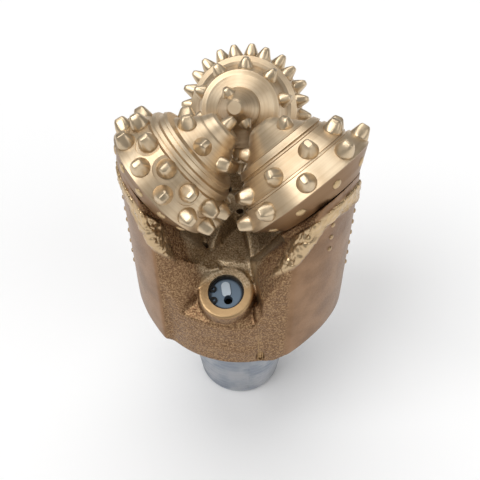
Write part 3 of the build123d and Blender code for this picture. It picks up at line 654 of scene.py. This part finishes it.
def all_inserts():
    for leg in LEGS:
        origin, axis = journal_frame(leg)

        def outward(point, origin=origin, axis=axis):
            offset = point - origin
            return offset - axis * offset.dot(axis) + axis * NOSE_PULL

        for row in ("heel", "outer", "middle", "nose"):
            node = f"cone_{leg}_{row}_inserts"
            if node in NODES:
                new_inserts(node, f"cone_{leg}", MATERIALS["carbide"], outward, axis, chisel_rings)
        new_inserts(f"cone_{leg}_gauge_buttons", f"cone_{leg}", MATERIALS["buttons"], outward, axis,
                    gauge_button)
    new_inserts("shirttail_buttons", "bit_body", MATERIALS["leg_buttons"], from_bit_axis, UP,
                leg_button)


# ---- Materials -------------------------------------------------------------------------------------
COLOUR_A, COLOUR_B, MIXED_COLOUR = 6, 7, 2     # the colour sockets of a mix node


class Shader:
    """A procedural material built up from a Principled BSDF."""

    def __init__(self, name):
        self.material = bpy.data.materials.new(name)
        self.material.use_nodes = True
        self.tree = self.material.node_tree
        self.tree.nodes.clear()
        self.bsdf = self.node("ShaderNodeBsdfPrincipled")
        output = self.node("ShaderNodeOutputMaterial")
        self.tree.links.new(self.bsdf.outputs["BSDF"], output.inputs["Surface"])
        self.place = self.node("ShaderNodeTexCoord").outputs["Object"]

    def node(self, kind, **facts):
        made = self.tree.nodes.new(kind)
        for key, value in facts.items():
            setattr(made, key, value)
        return made

    def put(self, socket, value):
        """Links a socket to another, or sets its value."""
        if isinstance(value, bpy.types.NodeSocket):
            self.tree.links.new(value, socket)
        else:
            socket.default_value = value

    def set(self, **values):
        for key, value in values.items():
            self.put(self.bsdf.inputs[key.replace("_", " ")], value)
        return self

    def math(self, operation, a, b=0.0):
        made = self.node("ShaderNodeMath", operation=operation)
        self.put(made.inputs[0], a)
        self.put(made.inputs[1], b)
        return made.outputs[0]

    def noise(self, size, detail=3.0, rough=0.55):
        made = self.node("ShaderNodeTexNoise")
        made.inputs["Scale"].default_value = 1 / size
        made.inputs["Detail"].default_value = detail
        made.inputs["Roughness"].default_value = rough
        self.put(made.inputs["Vector"], self.place)
        return made.outputs["Fac"]

    def rings(self, position, per_metre, detail=2.0):
        """Noise in one direction only, as turning leaves it."""
        made = self.node("ShaderNodeTexNoise", noise_dimensions="1D")
        self.put(made.inputs["W"], position)
        made.inputs["Scale"].default_value = per_metre
        made.inputs["Detail"].default_value = detail
        return made.outputs["Fac"]

    def cells(self, size):
        made = self.node("ShaderNodeTexVoronoi")
        made.inputs["Scale"].default_value = 1 / size
        self.put(made.inputs["Vector"], self.place)
        return made.outputs["Distance"]

    def remap(self, value, low, high, start=0.0, end=1.0):
        made = self.node("ShaderNodeMapRange", interpolation_type="SMOOTHSTEP")
        self.put(made.inputs["Value"], value)
        made.inputs["From Min"].default_value = low
        made.inputs["From Max"].default_value = high
        self.put(made.inputs["To Min"], start)
        self.put(made.inputs["To Max"], end)
        return made.outputs["Result"]

    def mix(self, share, a, b):
        made = self.node("ShaderNodeMix", data_type="RGBA")
        self.put(made.inputs["Factor"], share)
        self.put(made.inputs[COLOUR_A], a)
        self.put(made.inputs[COLOUR_B], b)
        return made.outputs[MIXED_COLOUR]

    def bump(self, height, depth, strength):
        made = self.node("ShaderNodeBump")
        made.inputs["Distance"].default_value = depth
        self.put(made.inputs["Strength"], strength)
        self.put(made.inputs["Height"], height)
        return made.outputs["Normal"]

    def radius_and_height(self):
        """Distance from the bit's axis, and height above the pin's end."""
        parts = self.node("ShaderNodeSeparateXYZ")
        self.put(parts.inputs[0], self.place)
        squares = [self.math("MULTIPLY", parts.outputs[i], parts.outputs[i]) for i in (0, 1)]
        return self.math("SQRT", self.math("ADD", *squares)), parts.outputs[2]

    def vectors(self, operation, *values):
        made = self.node("ShaderNodeVectorMath", operation=operation)
        for socket, value in zip(made.inputs, values):
            self.put(socket, value)
        return made.outputs

    def along(self, origin, axis):
        """Distance along an axis, and distance from it."""
        offset = self.vectors("SUBTRACT", self.place, origin)["Vector"]
        cross = self.vectors("CROSS_PRODUCT", offset, axis)["Vector"]
        return self.vectors("DOT_PRODUCT", offset, axis)["Value"], self.vectors("LENGTH", cross)["Value"]


def rgb(red, green, blue):
    """A display colour, as the scene's linear values."""
    return tuple((c / 255) ** 2.2 for c in (red, green, blue)) + (1.0,)


def cast_material():
    """Rough brown casting, smoother on the legs' outsides and round the pockets, paler on the dome: partly
    the dome's own tan-grey speckle, partly painted light that lifts the shade in that hollow. Pale specks in
    the rough zones are partly painted glints.
    """
    s = Shader("cast_bronze_brown")
    radius, height = s.radius_and_height()
    crust = s.node("ShaderNodeAttribute", attribute_name="crust").outputs["Fac"]
    ring = s.node("ShaderNodeAttribute", attribute_name="ring").outputs["Fac"]
    pad = s.math("MAXIMUM", s.remap(radius, 0.0728, 0.0742), ring)
    # Dome mask: its paler colour is partly the dome's own tan-grey speckle, partly painted light lifting the
    # shade that falls in the hollow among the arms
    dome = s.math("MULTIPLY", s.remap(radius, 0.054, 0.048), s.remap(height, 0.145, 0.155))
    cloud = s.noise(0.018, 4.0)
    fine = s.noise(0.0011, 2.0, 0.7)
    grains = s.cells(0.0013)
    brown = s.mix(s.remap(cloud, 0.3, 0.7), rgb(128, 98, 72), rgb(152, 119, 90))
    brown = s.mix(ring, brown, rgb(176, 146, 108))
    # Rough zones: the darker specks are the casting's grain, the pale specks are painted glints
    grain_and_glint_brown = s.mix(s.remap(fine, 0.38, 0.72), rgb(114, 85, 62), rgb(184, 152, 114))
    base = s.mix(pad, grain_and_glint_brown, brown)
    # Paler dome colours: partly the dome's own speckle, partly painted light against the shade in this hollow
    base = s.mix(dome, base, s.mix(s.remap(fine, 0.38, 0.68), rgb(156, 134, 106), rgb(212, 192, 160)))
    base = s.mix(crust, base, rgb(196, 170, 134))
    rough = s.remap(fine, 0.3, 0.7, 0.34, s.remap(pad, 0, 1, 0.52, 0.44))
    depth = s.remap(s.math("MAXIMUM", pad, crust), 0, 1, 0.5, 0.08)
    grain = s.bump(s.math("ADD", fine, grains), 0.0004, depth)
    rough = s.remap(crust, 0, 1, rough, 0.28)
    s.set(Base_Color=base, Metallic=0.88, Roughness=rough, Normal=grain)
    return s.material


def pin_material():
    """Blue-silver metal turned about the bit's axis."""
    s = Shader("pin_blue_silver")
    lines = s.rings(s.radius_and_height()[1], 2600)
    cloud = s.noise(0.02, 3.0)
    base = s.mix(s.remap(cloud, 0.35, 0.65), rgb(150, 156, 166), rgb(186, 188, 192))
    s.set(Base_Color=base, Metallic=0.9, Roughness=s.remap(cloud, 0.3, 0.7, 0.3, 0.42),
          Normal=s.bump(lines, 0.00008, 0.6))
    return s.material


def cone_material(leg, dark_until):
    """Turned metal with rings about the journal; the gauge band, up to a distance along it, is darker."""
    s = Shader(f"turned_metal_{leg}")
    origin, axis = journal_frame(leg)
    run, reach = s.along(origin, axis)
    mark = s.math("ADD", run, s.math("MULTIPLY", reach, -0.6))
    lines, wide = s.rings(mark, 2400, 4.0), s.rings(mark, 420)
    cloud = s.noise(0.016, 3.0)
    gold = s.mix(s.remap(cloud, 0.3, 0.7), rgb(204, 180, 148), rgb(220, 200, 170))
    gold = s.mix(s.remap(wide, 0.4, 0.66, 0.0, 0.35), gold, rgb(184, 158, 124))
    base = s.mix(s.remap(run, dark_until - 0.0006, dark_until + 0.0006), rgb(140, 110, 80), gold)
    s.set(Base_Color=base, Metallic=0.92, Roughness=s.remap(lines, 0.3, 0.7, 0.36, 0.46),
          Normal=s.bump(lines, 0.00005, 0.5))
    return s.material


def plain(name, colour, metallic, rough, grain=0.0006, depth=0.00003):
    """One colour with darker clouds and a fine grain."""
    s = Shader(name)
    cloud = s.noise(0.008, 3.0)
    shade = tuple(c * 0.78 for c in colour[:3]) + (1.0,)
    s.set(Base_Color=s.mix(s.remap(cloud, 0.35, 0.65), shade, colour), Metallic=metallic,
          Roughness=s.remap(cloud, 0.3, 0.7, rough - 0.05, rough + 0.06),
          Normal=s.bump(s.noise(grain, 2.0), depth, 0.5))
    return s.material


def nozzle_material(leg):
    """Blue-grey insert with a paler key bar standing on it."""
    s = Shader(f"nozzle_blue_grey_{leg}")
    origin, axis = nozzle_frame(leg)
    run, reach = s.along(origin, axis)
    bar = s.remap(run, -0.0042, -0.0036)
    rim = s.remap(reach, 0.0088, 0.0098)
    base = s.mix(bar, rgb(104, 122, 140), rgb(186, 200, 212))
    base = s.mix(rim, base, rgb(62, 72, 84))
    s.set(Base_Color=base, Metallic=0.35, Roughness=0.42, Normal=s.bump(s.noise(0.0008, 2.0), 0.00003, 0.5))
    return s.material


def give(obj, material):
    obj.data.materials.clear()
    obj.data.materials.append(material)


MATERIALS = {
    "cast": cast_material(),
    "pin": pin_material(),
    "hardfacing": plain("hardfacing_beads", rgb(206, 178, 138), 0.9, 0.3, 0.0009, 0.0001),
    "weld": plain("weld_metal", rgb(176, 144, 104), 0.85, 0.4, 0.0009, 0.0002),
    "carbide": plain("insert_gold", rgb(218, 196, 164), 0.92, 0.34),
    "buttons": plain("gauge_button_gold", rgb(206, 178, 136), 0.92, 0.36),
    "leg_buttons": plain("leg_button_gold", rgb(186, 158, 122), 0.9, 0.32),
    "ring": plain("snap_ring_black", rgb(26, 25, 26), 0.4, 0.42),
    "steel": plain("bearing_steel", rgb(176, 178, 182), 0.95, 0.25),
    "bronze": plain("bush_bronze", rgb(176, 134, 82), 0.95, 0.32),
    "rubber": plain("seal_rubber", rgb(22, 22, 22), 0.0, 0.6),
    "reservoir": plain("reservoir_steel", rgb(128, 118, 104), 0.85, 0.4),
}
CONE_MATERIALS = {1: cone_material(1, -0.0045), 2: cone_material(2, -0.004), 3: cone_material(3, -0.001)}
# The first word found in a CAD node's name gives its material
NODE_LOOKS = (
    ("_inserts", "carbide"), ("gauge_buttons", "buttons"), ("shirttail_buttons", "buttons"),
    ("nozzle_o_rings", "rubber"), ("nozzle_snap", "ring"), ("reservoir_snap", "ring"),
    ("reservoir", "reservoir"), ("diaphragm", "rubber"), ("journal_bush", "bronze"), ("thrust_disc", "steel"),
    ("bearing_balls", "steel"), ("cone_seal", "rubber"), ("ball_plug", "reservoir"), ("weld", "weld"),
    ("hardfacing", "hardfacing"), ("leg_", "cast"),
)
for name, obj in NODES.items():
    if name in ("cone_1", "cone_2", "cone_3"):
        give(obj, CONE_MATERIALS[int(name[-1])])
    elif name in ("nozzle_1", "nozzle_2", "nozzle_3"):
        give(obj, nozzle_material(int(name[-1])))
    else:
        give(obj, next(MATERIALS[look] for word, look in NODE_LOOKS if word in name))

cast_legs()
threaded_pin()
all_inserts()
crust_and_welds()

# ---- Stage, camera and light -----------------------------------------------------------------------
floor_mesh = bpy.data.meshes.new("floor")
floor_mesh.from_pydata([(-6, -6, 0), (6, -6, 0), (6, 6, 0), (-6, 6, 0)], [], [(0, 1, 2, 3)])
floor = new_object("floor", floor_mesh)
white = Shader("white_floor")
white.set(Base_Color=(0.97, 0.97, 0.97, 1.0), Roughness=0.9, Specular_IOR_Level=0.0)
give(floor, white.material)

world = bpy.data.worlds.new("studio")
bpy.context.scene.world = world
world.use_nodes = True
world.node_tree.nodes["Background"].inputs["Color"].default_value = (1.0, 1.0, 1.0, 1.0)
world.node_tree.nodes["Background"].inputs["Strength"].default_value = 0.28


def sun(name, azimuth, elevation, strength, angle):
    """A sun of some strength; where it stands and how wide it is are in degrees."""
    light = bpy.data.lights.new(name, "SUN")
    light.energy = strength
    light.angle = math.radians(angle)
    a, e = math.radians(azimuth), math.radians(elevation)
    towards = Vector((math.cos(e) * math.cos(a), math.cos(e) * math.sin(a), math.sin(e)))
    new_object(name, light).rotation_euler = towards.to_track_quat("Z", "Y").to_euler()


sun("key", 222, 52, 1.35, 36)
sun("side", 330, 34, 0.45, 40)
sun("top", 110, 72, 1.15, 50)

CAMERA_TURN = math.radians(9.5)        # about the bit, from straight in front
CAMERA_DOWN = 42.4                     # degrees that it looks down
CAMERA_REACH = 0.2956
CAMERA_HEIGHT = 0.4663

scene = bpy.context.scene
scene.view_settings.view_transform = "Standard"
camera = bpy.data.cameras.new("camera")
camera.lens = 45.8
camera.sensor_width = 36
camera.shift_y = -0.10
camera_obj = new_object("camera", camera)
camera_obj.location = (CAMERA_REACH * math.sin(CAMERA_TURN), -CAMERA_REACH * math.cos(CAMERA_TURN),
                       CAMERA_HEIGHT)
camera_obj.rotation_euler = (math.radians(90 - CAMERA_DOWN), 0, CAMERA_TURN)
scene.camera = camera_obj
